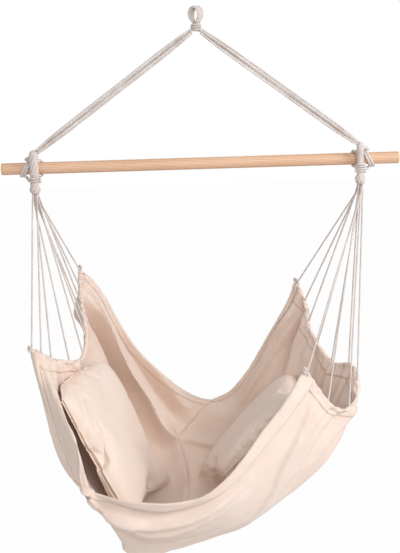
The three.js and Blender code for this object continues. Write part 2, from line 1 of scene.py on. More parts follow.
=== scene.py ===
# Hammock chair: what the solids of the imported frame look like. Metres, +X along the bar,
# -Y towards the viewer and +Z up, with the origin on the hook inside the hanging loop.
import math

import bmesh
import bpy
import numpy as np
from mathutils import Matrix, Vector, noise


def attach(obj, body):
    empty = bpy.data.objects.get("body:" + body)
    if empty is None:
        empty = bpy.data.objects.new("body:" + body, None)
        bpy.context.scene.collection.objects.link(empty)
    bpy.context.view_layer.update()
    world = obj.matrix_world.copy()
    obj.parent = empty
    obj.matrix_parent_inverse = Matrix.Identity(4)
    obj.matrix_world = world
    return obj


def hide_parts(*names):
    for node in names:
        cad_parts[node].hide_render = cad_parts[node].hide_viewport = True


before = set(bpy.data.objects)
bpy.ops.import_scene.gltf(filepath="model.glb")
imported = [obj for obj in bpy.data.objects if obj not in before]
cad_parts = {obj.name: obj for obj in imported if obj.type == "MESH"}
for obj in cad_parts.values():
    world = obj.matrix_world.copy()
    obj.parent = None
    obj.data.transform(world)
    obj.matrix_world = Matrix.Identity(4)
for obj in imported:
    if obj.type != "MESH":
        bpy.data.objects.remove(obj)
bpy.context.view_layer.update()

# Bar, necks and throat, as in the solids
bar_length = 1.0
bar_radius = 0.015
bar_round = 0.004
bar_setback = 0.0296
bar_drop = 0.382
neck_drop = 0.05
neck_height = -bar_drop - neck_drop
neck_ball = 0.014
column_rise = 0.036
throat = np.array([0.0, 0.0, -0.047])
throat_reach = 0.0151
touch_gap = 0.0003
whip_cord = 0.005
whip_pitch = whip_cord + 0.0006
bridle_cord = 0.0055
fan_cord = 0.0046
edge_rope = 0.008
strand_cord = 0.008
whip_lay = 3.4
rope_lay = 3.6
sides = {
    "left": {"sign": -1, "edge": 0.0, "x": -0.414, "column": 0.0115, "turns": 2},
    "right": {"sign": 1, "edge": 1.0, "x": 0.399, "column": 0.009, "turns": 4},
}

# Seat cloth: rails from its back rim to its front rim, each from its left edge to its right edge,
# as shares of the half span, the half depth and the drop
half_span = 0.42
half_depth = 0.3
drop = 0.9
rail_shares = [
    [(-0.78, 0.63, 0.262), (-0.65, 0.82, 0.345), (-0.44, 0.98, 0.535), (-0.13, 1.05, 0.680),
     (0.12, 1.00, 0.690), (0.37, 0.83, 0.530), (0.59, 0.63, 0.320)],
    [(-0.78, 0.53, 0.317), (-0.69, 0.73, 0.410), (-0.49, 0.92, 0.610), (-0.16, 0.97, 0.745),
     (0.16, 0.93, 0.725), (0.43, 0.75, 0.560), (0.64, 0.53, 0.383)],
    [(-0.76, 0.38, 0.372), (-0.72, 0.55, 0.500), (-0.52, 0.73, 0.728), (-0.17, 0.80, 0.833),
     (0.20, 0.77, 0.806), (0.49, 0.57, 0.633), (0.66, 0.35, 0.450)],
    [(-0.73, 0.18, 0.439), (-0.77, 0.32, 0.589), (-0.58, 0.42, 0.811), (-0.22, 0.47, 0.917),
     (0.20, 0.43, 0.890), (0.57, 0.33, 0.725), (0.77, 0.15, 0.528)],
    [(-0.76, -0.07, 0.483), (-0.86, 0.02, 0.649), (-0.62, 0.05, 0.872), (-0.30, 0.05, 0.983),
     (0.20, 0.05, 0.950), (0.61, 0.00, 0.785), (0.89, -0.08, 0.528)],
    [(-0.88, -0.30, 0.467), (-0.88, -0.28, 0.682), (-0.59, -0.37, 0.892), (-0.42, -0.37, 1.018),
     (0.16, -0.35, 0.965), (0.65, -0.32, 0.780), (0.88, -0.28, 0.611)],
    [(-0.94, -0.48, 0.439), (-0.75, -0.71, 0.666), (-0.66, -0.72, 0.831), (-0.44, -0.70, 0.928),
     (0.10, -0.72, 0.875), (0.53, -0.60, 0.711), (0.74, -0.45, 0.611)],
    [(-1.00, -0.62, 0.411), (-0.89, -0.55, 0.696), (-0.73, -0.72, 0.785), (-0.42, -0.88, 0.816),
     (-0.02, -0.88, 0.800), (0.33, -0.77, 0.633), (0.57, -0.62, 0.494)],
]
cloth_columns = 200
cloth_rows = 160
cloth_thickness = 0.0016
rope_ease = 0.002
fan_end_shares = [0.005, 0.12, 0.24, 0.34, 0.43, 0.53, 0.64, 0.77, 0.89, 0.995]
fan_rows = 3
fan_row_offset = 0.0049
fan_open_share = 1.35
fan_lead = 0.034

# Cushions: where each lies and which way its sides run, how far its lower end swells, the end at
# which it narrows and by what share, its tucked corners (end, edge, tuck, steepness), and the puckers
# in its cover (line, width, depth)
cushion_side = 0.4
cushion_thickness = 0.116
cushions = {
    "left": {
        "place": (-0.254, -0.012, -1.094), "long_way": (0.515, -0.09, -0.857), "wide_way": (0.15, 1.0, 0.0),
        "swell": 0.050, "narrow": (1, 0.02),
        "tucks": [(-1, 1, 0.034, 4), (-1, -1, 0.020, 4), (1, 1, 0.012, 4), (1, -1, 0.010, 3)],
        "puckers": [
            ([(-0.150, -0.120), (-0.140, -0.138), (-0.118, -0.150), (-0.095, -0.160)], 0.013, 0.014),
            ([(-0.150, -0.120), (-0.148, -0.104), (-0.140, -0.096)], 0.013, 0.015),
            ([(-0.075, -0.110), (-0.062, -0.118), (-0.048, -0.114)], 0.010, 0.009),
        ],
    },
    "right": {
        "place": (0.156, -0.026, -1.132), "long_way": (0.80, 0.06, 0.60), "wide_way": (0.02, 1.0, -0.03),
        "swell": 0.0, "narrow": (-1, 0.12),
        "tucks": [(-1, -1, 0.090, 2), (1, 1, 0.020, 4), (1, -1, 0.045, 3)],
        "puckers": [
            ([(0.010, -0.020), (0.016, -0.016)], 0.013, 0.014),
            ([(-0.050, -0.110), (0.010, -0.120), (0.060, -0.105)], 0.016, 0.010),
        ],
    },
}


def new_object(name, data):
    made = bpy.data.objects.new(name, data)
    bpy.context.scene.collection.objects.link(made)
    return made


# Camera, at the photograph's angle
def add_camera():
    distance = 3.4
    elevation = math.radians(9.0)
    roll = math.radians(1.75)
    target = Vector((-0.009, 0.0, -0.6654))
    back = Vector((0.0, -math.cos(elevation), math.sin(elevation)))
    right = Vector((1.0, 0.0, 0.0))
    up = back.cross(right)
    turned_right = math.cos(roll) * right - math.sin(roll) * up
    turned_up = math.sin(roll) * right + math.cos(roll) * up
    data = bpy.data.cameras.new("camera")
    data.lens = 87.66
    data.sensor_width = 36.0
    data.clip_end = 50.0
    camera = new_object("camera", data)
    camera.matrix_world = Matrix.Translation(target + distance * back) @ Matrix(
        (turned_right, turned_up, back)
    ).transposed().to_4x4()
    bpy.context.scene.camera = camera


add_camera()


# Materials: sums and products written on a Value become Math nodes
class Value:
    def __init__(self, nodes, socket):
        self.nodes = nodes
        self.socket = socket

    def __add__(self, other):
        return self.nodes.maths("ADD", self, other)

    def __mul__(self, other):
        return self.nodes.maths("MULTIPLY", self, other)

    __radd__ = __add__
    __rmul__ = __mul__


class Nodes:
    """A node tree, whose nodes come from one method"""

    def __init__(self, tree):
        self.tree = tree

    def feed(self, socket, value):
        if isinstance(value, Value):
            self.tree.links.new(value.socket, socket)
        else:
            socket.default_value = value

    def node(self, kind, settings, inputs, output=0):
        made = self.tree.nodes.new(kind)
        for name, setting in settings.items():
            if name == "stops":
                for stop, (place, colour) in zip(made.color_ramp.elements, setting):
                    stop.position = place
                    stop.color = colour
            else:
                setattr(made, name, setting)
        for name, value in inputs.items():
            self.feed(made.inputs[name], value)
        return Value(self, made.outputs[output])

    def maths(self, operation, *values):
        return self.node("ShaderNodeMath", {"operation": operation}, dict(enumerate(values)))

    def seen_rays(self):
        """1 for the rays that show what is behind the chair: the camera's, and those in gloss or glass"""
        camera, glossy, through = (self.node("ShaderNodeLightPath", {}, {}, f"Is {ray} Ray")
                                   for ray in ("Camera", "Glossy", "Transmission"))
        return self.maths("MINIMUM", camera + glossy + through, 1.0)


class Finish(Nodes):
    """A material. What is the same all over it is a value on its shader's own socket."""

    def __init__(self, name, values):
        self.material = bpy.data.materials.new(name)
        self.material.use_nodes = True
        super().__init__(self.material.node_tree)
        self.shader = self.tree.nodes["Principled BSDF"]
        self.set_shader(values)

    def set_shader(self, values):
        for name, value in values.items():
            self.feed(self.shader.inputs[name], value)

    def ramp(self, factor, *stops):
        return self.node("ShaderNodeValToRGB", {"stops": stops}, {0: factor})

    def place(self, scale, on_surface=False):
        """Texture places, from the piece's flat map or from the object, times a scale"""
        source = self.node("ShaderNodeTexCoord", {}, {}, "UV" if on_surface else "Object")
        return self.node("ShaderNodeMapping", {}, {"Vector": source, "Scale": scale})

    def mottle(self, scale, detail, on_surface=False, rough=0.5):
        return self.node("ShaderNodeTexNoise", {}, {"Vector": self.place(scale, on_surface), "Scale": 1.0,
                                                    "Detail": detail, "Roughness": rough})

    def waves(self, vector, axis, per_metre):
        """Sine waves along one axis, given in radians a metre"""
        return self.maths("SINE", self.node("ShaderNodeSeparateXYZ", {}, {0: vector}, axis) * per_metre)

    def bumped(self, height, distance, strength):
        bump = self.node("ShaderNodeBump", {}, {"Height": height, "Distance": distance, "Strength": strength})
        self.set_shader({"Normal": bump})


def tone(*parts):
    """A colour given in the 0 to 255 parts in which it shows, as the linear one that a shader takes"""
    shares = [part / 255 for part in parts]
    return (*(s / 12.92 if s <= 0.04045 else ((s + 0.055) / 1.055) ** 2.4 for s in shares), 1.0)


white = (1.0, 1.0, 1.0, 1.0)
# grey of the painted shade between the threads
shadow_between_threads = (0.9, 0.9, 0.9, 1.0)


def canvas_finish(name, light, dark, yarn):
    """Plain-woven cotton canvas: yarns over and under each other, slubs, soft mottling, and painted shade
    between the threads
    """
    finish = Finish(name, {"Roughness": 0.92, "Sheen Weight": 0.25, "Sheen Roughness": 0.5,
                           "Specular IOR Level": 0.2})
    flat = finish.place((1.0, 1.0, 1.0), True)
    warp, weft = (finish.waves(flat, axis, 2 * math.pi / yarn) for axis in (0, 1))
    slub_along = finish.mottle((900.0, 40.0, 1.0), 2.0, True)
    slub_across = finish.mottle((40.0, 900.0, 1.0), 2.0, True)
    crumple = finish.mottle((26.0, 26.0, 1.0), 3.0, True, 0.45)
    height = warp * weft * 0.35 + slub_along * 0.6 + slub_across * 0.6 + crumple * 6.0
    finish.bumped(height, 0.0007, 0.35)
    shade = finish.ramp(finish.mottle((7.0, 7.0, 1.0), 4.0, True), (0.32, dark), (0.68, light))
    threads = slub_along * 0.5 + slub_across * 0.5
    # painted shade between the threads: the colour darkens where the slubs are low
    painted_thread_shade = finish.ramp(threads, (0.3, shadow_between_threads), (0.6, white))
    finish.set_shader({"Base Color": finish.node(
        "ShaderNodeMix", {"data_type": "RGBA", "blend_type": "MULTIPLY"}, {0: 0.6, 6: shade, 7: painted_thread_shade}, 2)})
    return finish.material


def cord_finish(name, light, dark):
    """Laid cotton cord: fine yarns along its strands, with loose fibres between them"""
    finish = Finish(name, {"Roughness": 0.95, "Sheen Weight": 0.35, "Sheen Roughness": 0.5,
                           "Specular IOR Level": 0.15})
    fibres = finish.mottle((700.0, 700.0, 700.0), 3.0)
    flat = finish.place((1.0, 1.0, 1.0), True)
    across, along = (finish.node("ShaderNodeSeparateXYZ", {}, {0: flat}, axis) for axis in (1, 0))
    yarns = finish.maths("SINE", across * 9000.0 + along * 2600.0)
    finish.bumped(fibres + yarns * 0.35, 0.0006, 0.6)
    soil = finish.mottle((28.0, 28.0, 28.0), 3.0)
    finish.set_shader({"Base Color": finish.ramp(soil, (0.3, dark), (0.7, light))})
    return finish.material


def wood_finish(name, light, dark):
    """Oiled pine: long grain along the bar, growth rings on its ends, pores and a satin coat"""
    finish = Finish(name, {"Coat Weight": 0.15, "Coat Roughness": 0.35})
    rings = finish.node(
        "ShaderNodeTexWave",
        {"wave_type": "RINGS", "rings_direction": "X"},
        {"Vector": finish.place((1.2, 90.0, 90.0)), "Scale": 1.0, "Distortion": 5.0, "Detail": 3.0,
         "Detail Scale": 0.8, "Detail Roughness": 0.6},
    )
    streaks = finish.mottle((3.0, 260.0, 260.0), 4.0)
    pores = finish.mottle((24.0, 1500.0, 1500.0), 2.0)
    grain = rings * 0.45 + streaks * 0.35 + finish.mottle((5.0, 14.0, 14.0), 3.0) * 0.3
    finish.set_shader({"Base Color": finish.ramp(grain, (0.25, dark), (0.8, light)),
                       "Roughness": streaks * 0.25 + 0.38})
    finish.bumped(streaks * 0.6 + pores * 0.8 + rings * 0.2, 0.0004, 0.5)
    return finish.material


seat_canvas = canvas_finish("seat canvas", tone(241, 221, 208), tone(234, 212, 197), 0.0014)
cover_canvas = canvas_finish("cushion canvas", tone(243, 225, 212), tone(237, 216, 202), 0.0011)
zip_tape = canvas_finish("zip tape", tone(214, 180, 158), tone(190, 152, 130), 0.0009)
cotton = cord_finish("cotton cord", tone(236, 226, 220), tone(216, 202, 195))
pine = wood_finish("oiled pine", tone(232, 196, 166), tone(196, 146, 108))


# Lines, with the steps between the points of a fine line, of a cord and of a tight winding, and the
# points of a cord's curve between two that it runs through
fine_step = 0.001
cord_step = 0.0034
turn_step = 0.0016
curve_points = 60


def unit(ways):
    return ways / np.linalg.norm(ways, axis=-1, keepdims=True)


def with_ends(points):
    """A row of points with one more past each end, for a curve that runs through all of them"""
    points = np.asarray(points, float)
    return np.concatenate([[2 * points[0] - points[1]], points, [2 * points[-1] - points[-2]]])


def cubic(start, end, leave, arrive, share):
    """Points at shares of the way between two, for the slopes with which the curve leaves and arrives"""
    square = -3 * start + 3 * end - 2 * leave - arrive
    cube = 2 * start - 2 * end + leave + arrive
    return start + leave * share + square * share**2 + cube * share**3


def smooth_line(points, shares):
    """Points at shares of a smooth line through a row of points, as the solids' rails run"""
    row = with_ends(points)
    place = np.asarray(shares, float) * (len(row) - 3)
    cell = np.clip(np.floor(place).astype(int), 0, len(row) - 4)
    share = (place - cell).reshape((-1,) + (1,) * (row.ndim - 1))
    before, start, end, after = (row[cell + k] for k in range(4))
    return cubic(start, end, (end - before) / 2, (after - start) / 2, share)


def cord_line(points, step):
    """Points a step apart on the curve through points that the solids' cords follow"""
    row = with_ends(points)
    gaps = np.sqrt(np.linalg.norm(np.diff(row, axis=0), axis=1))
    dense = []
    for i in range(len(row) - 3):
        before, start, end, after = row[i : i + 4]
        first, middle, last = gaps[i : i + 3]
        slope = (end - start) / middle
        leave = middle * ((start - before) / first - (end - before) / (first + middle) + slope)
        arrive = middle * (slope - (after - start) / (middle + last) + (after - end) / last)
        share = np.linspace(0, 1, curve_points, endpoint=i == len(row) - 4)[:, None]
        dense.append(cubic(start, end, leave, arrive, share))
    return even_line(np.concatenate(dense), step)


def step_lengths(line):
    return np.linalg.norm(np.diff(line, axis=0), axis=1)


def line_length(line):
    return float(step_lengths(line).sum())


def distances(line):
    """How far along a line each of its points lies"""
    return np.concatenate([[0.0], np.cumsum(step_lengths(line))])


def even_line(line, step):
    reach = distances(line)
    count = max(2, int(round(reach[-1] / step)) + 1)
    places = np.linspace(0, reach[-1], count)
    return np.stack([np.interp(places, reach, line[:, k]) for k in range(3)], axis=1)


def trimmed(line, keep):
    """The part of a line from its first to its last point that passes a test"""
    inside = np.array([keep(point) for point in line])
    first, last = np.nonzero(inside)[0][[0, -1]]
    return line[first : last + 1]


# Pieces and meshes
def add_piece(name, mesh, material, body, nodes=()):
    piece = new_object(name, mesh)
    mesh.materials.clear()
    mesh.materials.append(material)
    mesh.shade_smooth()
    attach(piece, body)
    if nodes:
        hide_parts(*nodes)
    return piece


def mesh_from(bm, name, weld=0.0):
    if weld:
        bmesh.ops.remove_doubles(bm, verts=bm.verts, dist=weld)
        bmesh.ops.recalc_face_normals(bm, faces=bm.faces)
    mesh = bpy.data.meshes.new(name)
    bm.to_mesh(mesh)
    bm.free()
    return mesh


def strand_section(radius, lobes, depth):
    """The outline of a cord's section: round lobes, one for each strand"""
    curve = bpy.data.curves.new("section", "CURVE")
    curve.dimensions = "2D"
    spline = curve.splines.new("POLY")
    count = 4 * lobes if depth else 12
    spline.points.add(count - 1)
    for i, point in enumerate(spline.points):
        angle = -2 * math.pi * i / count
        reach = radius * (1 - depth + depth * math.cos(lobes * angle))
        point.co = (reach * math.cos(angle), reach * math.sin(angle), 0.0, 1.0)
    spline.use_cyclic_u = True
    return new_object("section", curve)


def evaluated_mesh(thing):
    graph = bpy.context.evaluated_depsgraph_get()
    return bpy.data.meshes.new_from_object(thing.evaluated_get(graph), depsgraph=graph)


def laid_cord(name, line, diameter, lobes=3, depth=0.09, lay_share=4.5, closed=False, widths=None):
    """A cord's mesh: strands laid round each other along a line"""
    section = strand_section(diameter / 2, lobes, depth)
    curve = bpy.data.curves.new(name, "CURVE")
    curve.dimensions = "3D"
    curve.twist_mode = "MINIMUM"
    spline = curve.splines.new("POLY")
    spline.points.add(len(line) - 1)
    spline.points.foreach_set("co", np.column_stack([line, np.ones(len(line))]).ravel())
    reach = distances(line)
    turn = 2 * math.pi / (lay_share * diameter)
    if closed:
        whole = reach[-1] + np.linalg.norm(line[0] - line[-1])
        turn = 2 * math.pi * round(turn * whole / (2 * math.pi)) / whole
    spline.points.foreach_set("tilt", reach * turn)
    if widths is not None:
        spline.points.foreach_set("radius", widths)
    spline.use_cyclic_u = closed
    curve.bevel_mode = "OBJECT"
    curve.bevel_object = section
    curve.use_fill_caps = not closed
    run = new_object(name, curve)
    mesh = evaluated_mesh(run)
    for thing in (run, section):
        data = thing.data
        bpy.data.objects.remove(thing)
        bpy.data.curves.remove(data)
    flat = np.empty(2 * len(mesh.loops))
    mesh.uv_layers[0].data.foreach_get("uv", flat)
    flat = flat.reshape(-1, 2) * (reach[-1], math.pi * diameter)
    mesh.uv_layers[0].data.foreach_set("uv", flat.ravel())
    bm = bmesh.new()
    bm.from_mesh(mesh)
    bpy.data.meshes.remove(mesh)
    return mesh_from(bm, name, 1e-6)


def joined(name, meshes):
    bm = bmesh.new()
    for mesh in meshes:
        bm.from_mesh(mesh)
        bpy.data.meshes.remove(mesh)
    return mesh_from(bm, name)


def add_cotton(name, mesh, body, node):
    return add_piece(name, mesh, cotton, body, [node])


def add_taut_cord(name, node, body, line, diameter):
    """A cord that runs from one part of the chair to another, along the line given"""
    line = even_line(line, cord_step)
    cord = add_cotton(name, laid_cord(name, line, diameter), body, node)


# Bridle cords: from the throat to the tops of the two necks
bridle_cords = 4
bundle_share = 0.56


def add_bridle(name, side):
    top = np.array([side["x"], 0.0, -bar_drop + column_rise])
    along = unit(top - throat)
    across = np.array([-along[2], 0.0, along[0]])
    bundle = bundle_share * bridle_cord
    for i in range(bridle_cords):
        row = -1 if i % 2 == 0 else 1
        rank = -1 if i < bridle_cords / 2 else 1
        spread = (i - (bridle_cords - 1) / 2) * bridle_cord
        stations = [
            (0.0, rank * bundle, row * bundle),
            (0.12, 0.9 * spread, row * bundle),
            (0.5, spread, row * bundle * 0.5),
            (0.88, 0.9 * spread, row * bundle),
            (1.0, rank * bundle, row * bundle),
        ]
        points = [throat + share * (top - throat) + sideways * across + np.array([0.0, depth, 0.0])
                  for share, sideways, depth in stations]
        line = trimmed(cord_line(points, fine_step), lambda p: np.linalg.norm(p - throat) > throat_reach
                       and np.linalg.norm(p - top) > side["column"])
        add_taut_cord(f"{name}_bridle_{i + 1}", f"{name}_bridle_cord_{i + 1}", "spreader", line, bridle_cord)


for side_name, side in sides.items():
    add_bridle(side_name, side)


# Cloth surface
rails = np.array(rail_shares) * (half_span, half_depth, -drop) + (0.0, 0.0, neck_height)
towards_viewer = np.array([0.0, -1.0, 0.0])


def smooth_cloth(across, along):
    """Points of the smooth cloth on a grid of shares: rows along, columns across"""
    runs = np.stack([smooth_line(rail, across) for rail in rails])
    return smooth_line(runs, along)


def cloth_point(across, along):
    return smooth_cloth([across], [along])[0, 0]


def grid_normals(grid):
    """Directions that face into the seat"""
    return unit(np.cross(np.gradient(grid, axis=0), np.gradient(grid, axis=1)))


# Creases of the cloth, each with the shares across and along the cloth that it runs through, its height
# in millimetres into the seat, the widths on its two sides, how sharp its crest is, and how far that
# leans where the crease is as high as lean_height
lean_height = 0.025
crease_stations = 90
creases = [
    # back, left: the long ridge that folds over the back rim
    ([(0.10, 0.055), (0.222, 0.075), (0.317, 0.091), (0.394, 0.127), (0.454, 0.217), (0.490, 0.290)],
     [10, 38, 54, 56, 46, 10], (14, 44), 0.8, 14),
    # the dark valley in front of it
    ([(0.02, 0.20), (0.096, 0.192), (0.219, 0.171), (0.312, 0.200), (0.388, 0.259), (0.455, 0.345)],
     [-16, -44, -60, -56, -38, -8], (36, 30), 0.1, 0),
    # the broad roll between the valley and the left cushion
    ([(0.03, 0.31), (0.14, 0.29), (0.26, 0.30), (0.36, 0.36), (0.44, 0.44)],
     [4, 14, 16, 12, 4], (50, 50), 0.0, 0),
    # groove between the ridge and the back rim
    ([(0.17, 0.030), (0.26, 0.038), (0.34, 0.055), (0.41, 0.090), (0.47, 0.140), (0.52, 0.165)],
     [-6, -18, -30, -44, -42, -10], (34, 14), 0.3, 0),
    # the right sheet's edge, which lies over the end of that groove
    ([(0.479, 0.264), (0.52, 0.20), (0.556, 0.142), (0.60, 0.07), (0.634, 0.01)],
     [4, 20, 26, 24, 12], (12, 60), 0.6, -6),
    # folds that fan out from the end of the ridge
    ([(0.479, 0.264), (0.521, 0.258), (0.565, 0.268), (0.62, 0.29), (0.70, 0.30)],
     [4, 14, 16, 12, 1], (34, 11), 0.6, 4),
    ([(0.466, 0.226), (0.479, 0.264), (0.514, 0.367), (0.53, 0.45), (0.53, 0.55)],
     [10, 20, 20, 14, 2], (12, 28), 0.7, -3),
    ([(0.55, 0.33), (0.60, 0.38), (0.63, 0.46)],
     [3, 12, 2], (18, 18), 0.4, 0),
    # right back: valley and creases from the right edge
    ([(0.99, 0.140), (0.956, 0.175), (0.905, 0.193), (0.818, 0.228), (0.74, 0.235)],
     [-14, -26, -26, -16, -2], (26, 32), 0.4, 0),
    ([(0.99, 0.092), (0.94, 0.086), (0.90, 0.070), (0.866, 0.042), (0.80, 0.02)],
     [8, 18, 18, 12, 2], (14, 24), 0.6, 3),
    ([(0.985, 0.12), (0.923, 0.136), (0.827, 0.133), (0.741, 0.142), (0.66, 0.165)],
     [4, 14, 16, 12, 2], (12, 40), 0.6, -3),
    ([(0.99, 0.22), (0.93, 0.25), (0.85, 0.29), (0.76, 0.31)],
     [8, 18, 16, 2], (20, 24), 0.5, 0),
    ([(0.99, 0.34), (0.93, 0.36), (0.86, 0.38), (0.78, 0.42)],
     [-8, -14, -11, -2], (22, 22), 0.3, 0),
    # gathers below the right edge
    ([(1.0, 0.44), (0.965, 0.45), (0.925, 0.465), (0.88, 0.47)],
     [9, 12, 8, 1], (12, 12), 0.6, 0),
    ([(1.0, 0.56), (0.965, 0.565), (0.92, 0.57), (0.87, 0.575)],
     [-9, -11, -7, -1], (12, 12), 0.6, 0),
    ([(1.0, 0.74), (0.965, 0.745), (0.93, 0.755), (0.88, 0.76)],
     [-9, -11, -8, -1], (11, 14), 0.6, 0),
    ([(1.0, 0.87), (0.965, 0.865), (0.93, 0.865), (0.89, 0.86)],
     [7, 9, 6, 1], (11, 14), 0.6, 0),
    # left front: pleats behind the fold beside the rim
    ([(0.0, 0.72), (0.05, 0.68), (0.10, 0.62), (0.15, 0.56)],
     [8, 14, 12, 2], (13, 13), 0.6, 0),
    ([(0.0, 0.60), (0.05, 0.56), (0.10, 0.51)],
     [8, 12, 2], (12, 12), 0.6, 0),
    # front: the hollow behind the rim's band, and the sweeps below it
    ([(0.17, 0.86), (0.223, 0.845), (0.272, 0.870), (0.33, 0.90), (0.40, 0.93)],
     [-6, -14, -16, -12, -3], (22, 18), 0.4, 0),
    ([(0.36, 0.945), (0.43, 0.965), (0.50, 0.955), (0.576, 0.942), (0.632, 0.95), (0.72, 0.955)],
     [4, 15, 18, 18, 13, 2], (12, 22), 0.6, 0),
    ([(0.40, 0.915), (0.495, 0.922), (0.541, 0.912), (0.602, 0.912), (0.657, 0.925), (0.74, 0.93)],
     [-4, -17, -20, -18, -13, -2], (12, 20), 0.6, 0),
    # the lowest fold: a band that hangs over the tucked part above the lowest corner
    ([(0.39, 0.925), (0.42, 0.910), (0.479, 0.908), (0.526, 0.880), (0.585, 0.865), (0.66, 0.880)],
     [-2, -14, -20, -20, -12, -2], (8, 42), 0.8, -5),
    ([(0.41, 0.865), (0.46, 0.850), (0.51, 0.820), (0.57, 0.800), (0.64, 0.800)],
     [4, 20, 22, 16, 2], (24, 16), 0.2, 0),
    ([(0.52, 0.74), (0.56, 0.73), (0.62, 0.72), (0.69, 0.72)],
     [4, 17, 14, 2], (80, 80), 0.0, 0),
    ([(0.452, 0.735), (0.500, 0.735), (0.56, 0.725), (0.62, 0.72), (0.68, 0.72)],
     [-16, -13, -10, -8, -2], (30, 30), 0.9, 0),
    # the lower left side, fuller than the rails
    ([(0.23, 0.80), (0.28, 0.81), (0.33, 0.82), (0.38, 0.81)],
     [-4, -14, -12, -3], (50, 50), 0.0, 0),
    # right front: the sweep from the right edge down to the lowest fold
    ([(0.97, 0.94), (0.906, 0.917), (0.858, 0.903), (0.79, 0.867), (0.733, 0.808), (0.69, 0.76)],
     [-5, -11, -13, -12, -9, -2], (7, 46), 0.8, -3),
    ([(0.98, 0.80), (0.92, 0.81), (0.86, 0.80), (0.79, 0.77), (0.72, 0.72)],
     [4, 12, 13, 9, 1], (24, 24), 0.3, 0),
    ([(0.98, 0.66), (0.91, 0.68), (0.83, 0.69), (0.75, 0.68)],
     [-7, -12, -10, -1], (24, 24), 0.3, 0),
]
# the fold beside the rim at the left front, whose height is towards the viewer
rim_fold = ([(0.02, 0.86), (0.08, 0.85), (0.16, 0.85), (0.24, 0.87), (0.32, 0.90)],
            [16, 34, 26, 10, 0], (44, 44), 0.6, 0)


def crease_shift(grid, normals, way, run, heights, widths, sharp, lean):
    """How far a crease moves each point of the cloth, with its height the given way"""
    stations = np.linspace(0, 1, crease_stations)
    heights = np.interp(stations, np.linspace(0, 1, len(run)), heights) / 1000
    crest = np.array([cloth_point(*np.clip(place, 0, 1)) for place in smooth_line(run, stations)])
    flat = grid.reshape(-1, 3)
    best = np.full(len(flat), np.inf)
    nearest = np.zeros(len(flat), int)
    for k, point in enumerate(crest):
        away = ((flat - point) ** 2).sum(1)
        closer = away < best
        best[closer] = away[closer]
        nearest[closer] = k
    sideways = np.cross(normals.reshape(-1, 3), unit(np.gradient(crest, axis=0))[nearest])
    near_side = ((flat - crest[nearest]) * sideways).sum(1) > 0
    share = np.clip(np.sqrt(best) / (np.where(near_side, *widths) / 1000), 0, 1)
    bell = (1 - share) ** 2 * (1 + 2 * share)
    cusp = (1 - share) ** 1.25
    height = heights[nearest]
    rise = (bell + (cusp - bell) * sharp) * height
    leaning = lean / 1000 * bell * np.abs(height) / lean_height
    return rise[:, None].reshape(*grid.shape[:2], 1) * way - (leaning[:, None] * sideways).reshape(grid.shape)


# Gathers along the side edges, deepest at the corners, and ripples all over
gather_height = 0.010
gather_reach = 0.075
gather_turns = (5.5, 34.0)
corner_reach = 0.07
ripple_height = 0.0042
ripple_turns = (9.0, 13.0)


def wrinkle(across, along, width):
    """How high the gathers and ripples stand at shares across and along the cloth"""
    edge = min(across, 1 - across) * width
    corner = 1 + math.exp(-min(along, 1 - along) / corner_reach)
    place = Vector((across * width * gather_turns[0], along * gather_turns[1], 3.0))
    gather = noise.fractal(place, 1.0, 2.0, 3) * gather_height * corner * math.exp(-edge / gather_reach)
    place = Vector((across * ripple_turns[0], along * ripple_turns[1], 7.0))
    return gather + noise.fractal(place, 0.9, 2.1, 4) * ripple_height


def cloth_surface():
    across = np.linspace(0, 1, cloth_columns + 1)
    along = np.linspace(0, 1, cloth_rows + 1)
    grid = smooth_cloth(across, along)
    normals = grid_normals(grid)
    shift = sum(crease_shift(grid, normals, normals, *crease) for crease in creases)
    shift += crease_shift(grid, normals, towards_viewer, *rim_fold)
    width = line_length(grid[cloth_rows // 2])
    heights = np.array([[wrinkle(share_across, share_along, width) for share_across in across]
                        for share_along in along])
    return grid + shift + normals * heights[:, :, None]


def edge_pulled(grid):
    """The cloth with the columns at its side edges drawn in, to clear the ropes that it hangs by"""
    pulled = grid.copy()
    columns = 3
    for edge, inward in ((0, 1), (-1, -1)):
        tangent = unit(np.gradient(grid[:, edge], axis=0))
        way = grid[:, edge + inward] - grid[:, edge]
        way = unit(way - (way * tangent).sum(1, keepdims=True) * tangent)
        for k in range(columns):
            pulled[:, edge + inward * k] += way * (edge_rope / 2 + rope_ease) * (1 - k / columns)
    return pulled


def gridded(name, grid, flat_size):
    """A mesh over a grid of points, with a flat map in metres"""
    rows, columns = grid.shape[:2]
    bm = bmesh.new()
    layer = bm.loops.layers.uv.new("UVMap")
    bmesh.ops.create_grid(bm, x_segments=columns - 1, y_segments=rows - 1, size=1.0, calc_uvs=True)
    bm.verts.ensure_lookup_table()
    order = np.lexsort(([v.co.x for v in bm.verts], np.round([v.co.y for v in bm.verts], 5)))
    for index, point in zip(order, grid.reshape(-1, 3)):
        bm.verts[index].co = point
    for face in bm.faces:
        for loop in face.loops:
            loop[layer].uv *= Vector(flat_size)
    bmesh.ops.reverse_faces(bm, faces=bm.faces)
    return mesh_from(bm, name)


surface = edge_pulled(cloth_surface())
surface_normals = grid_normals(surface)
cloth_width = float(np.mean([line_length(row) for row in surface]))
cloth_length = float(np.mean([line_length(surface[:, j]) for j in range(cloth_columns + 1)]))


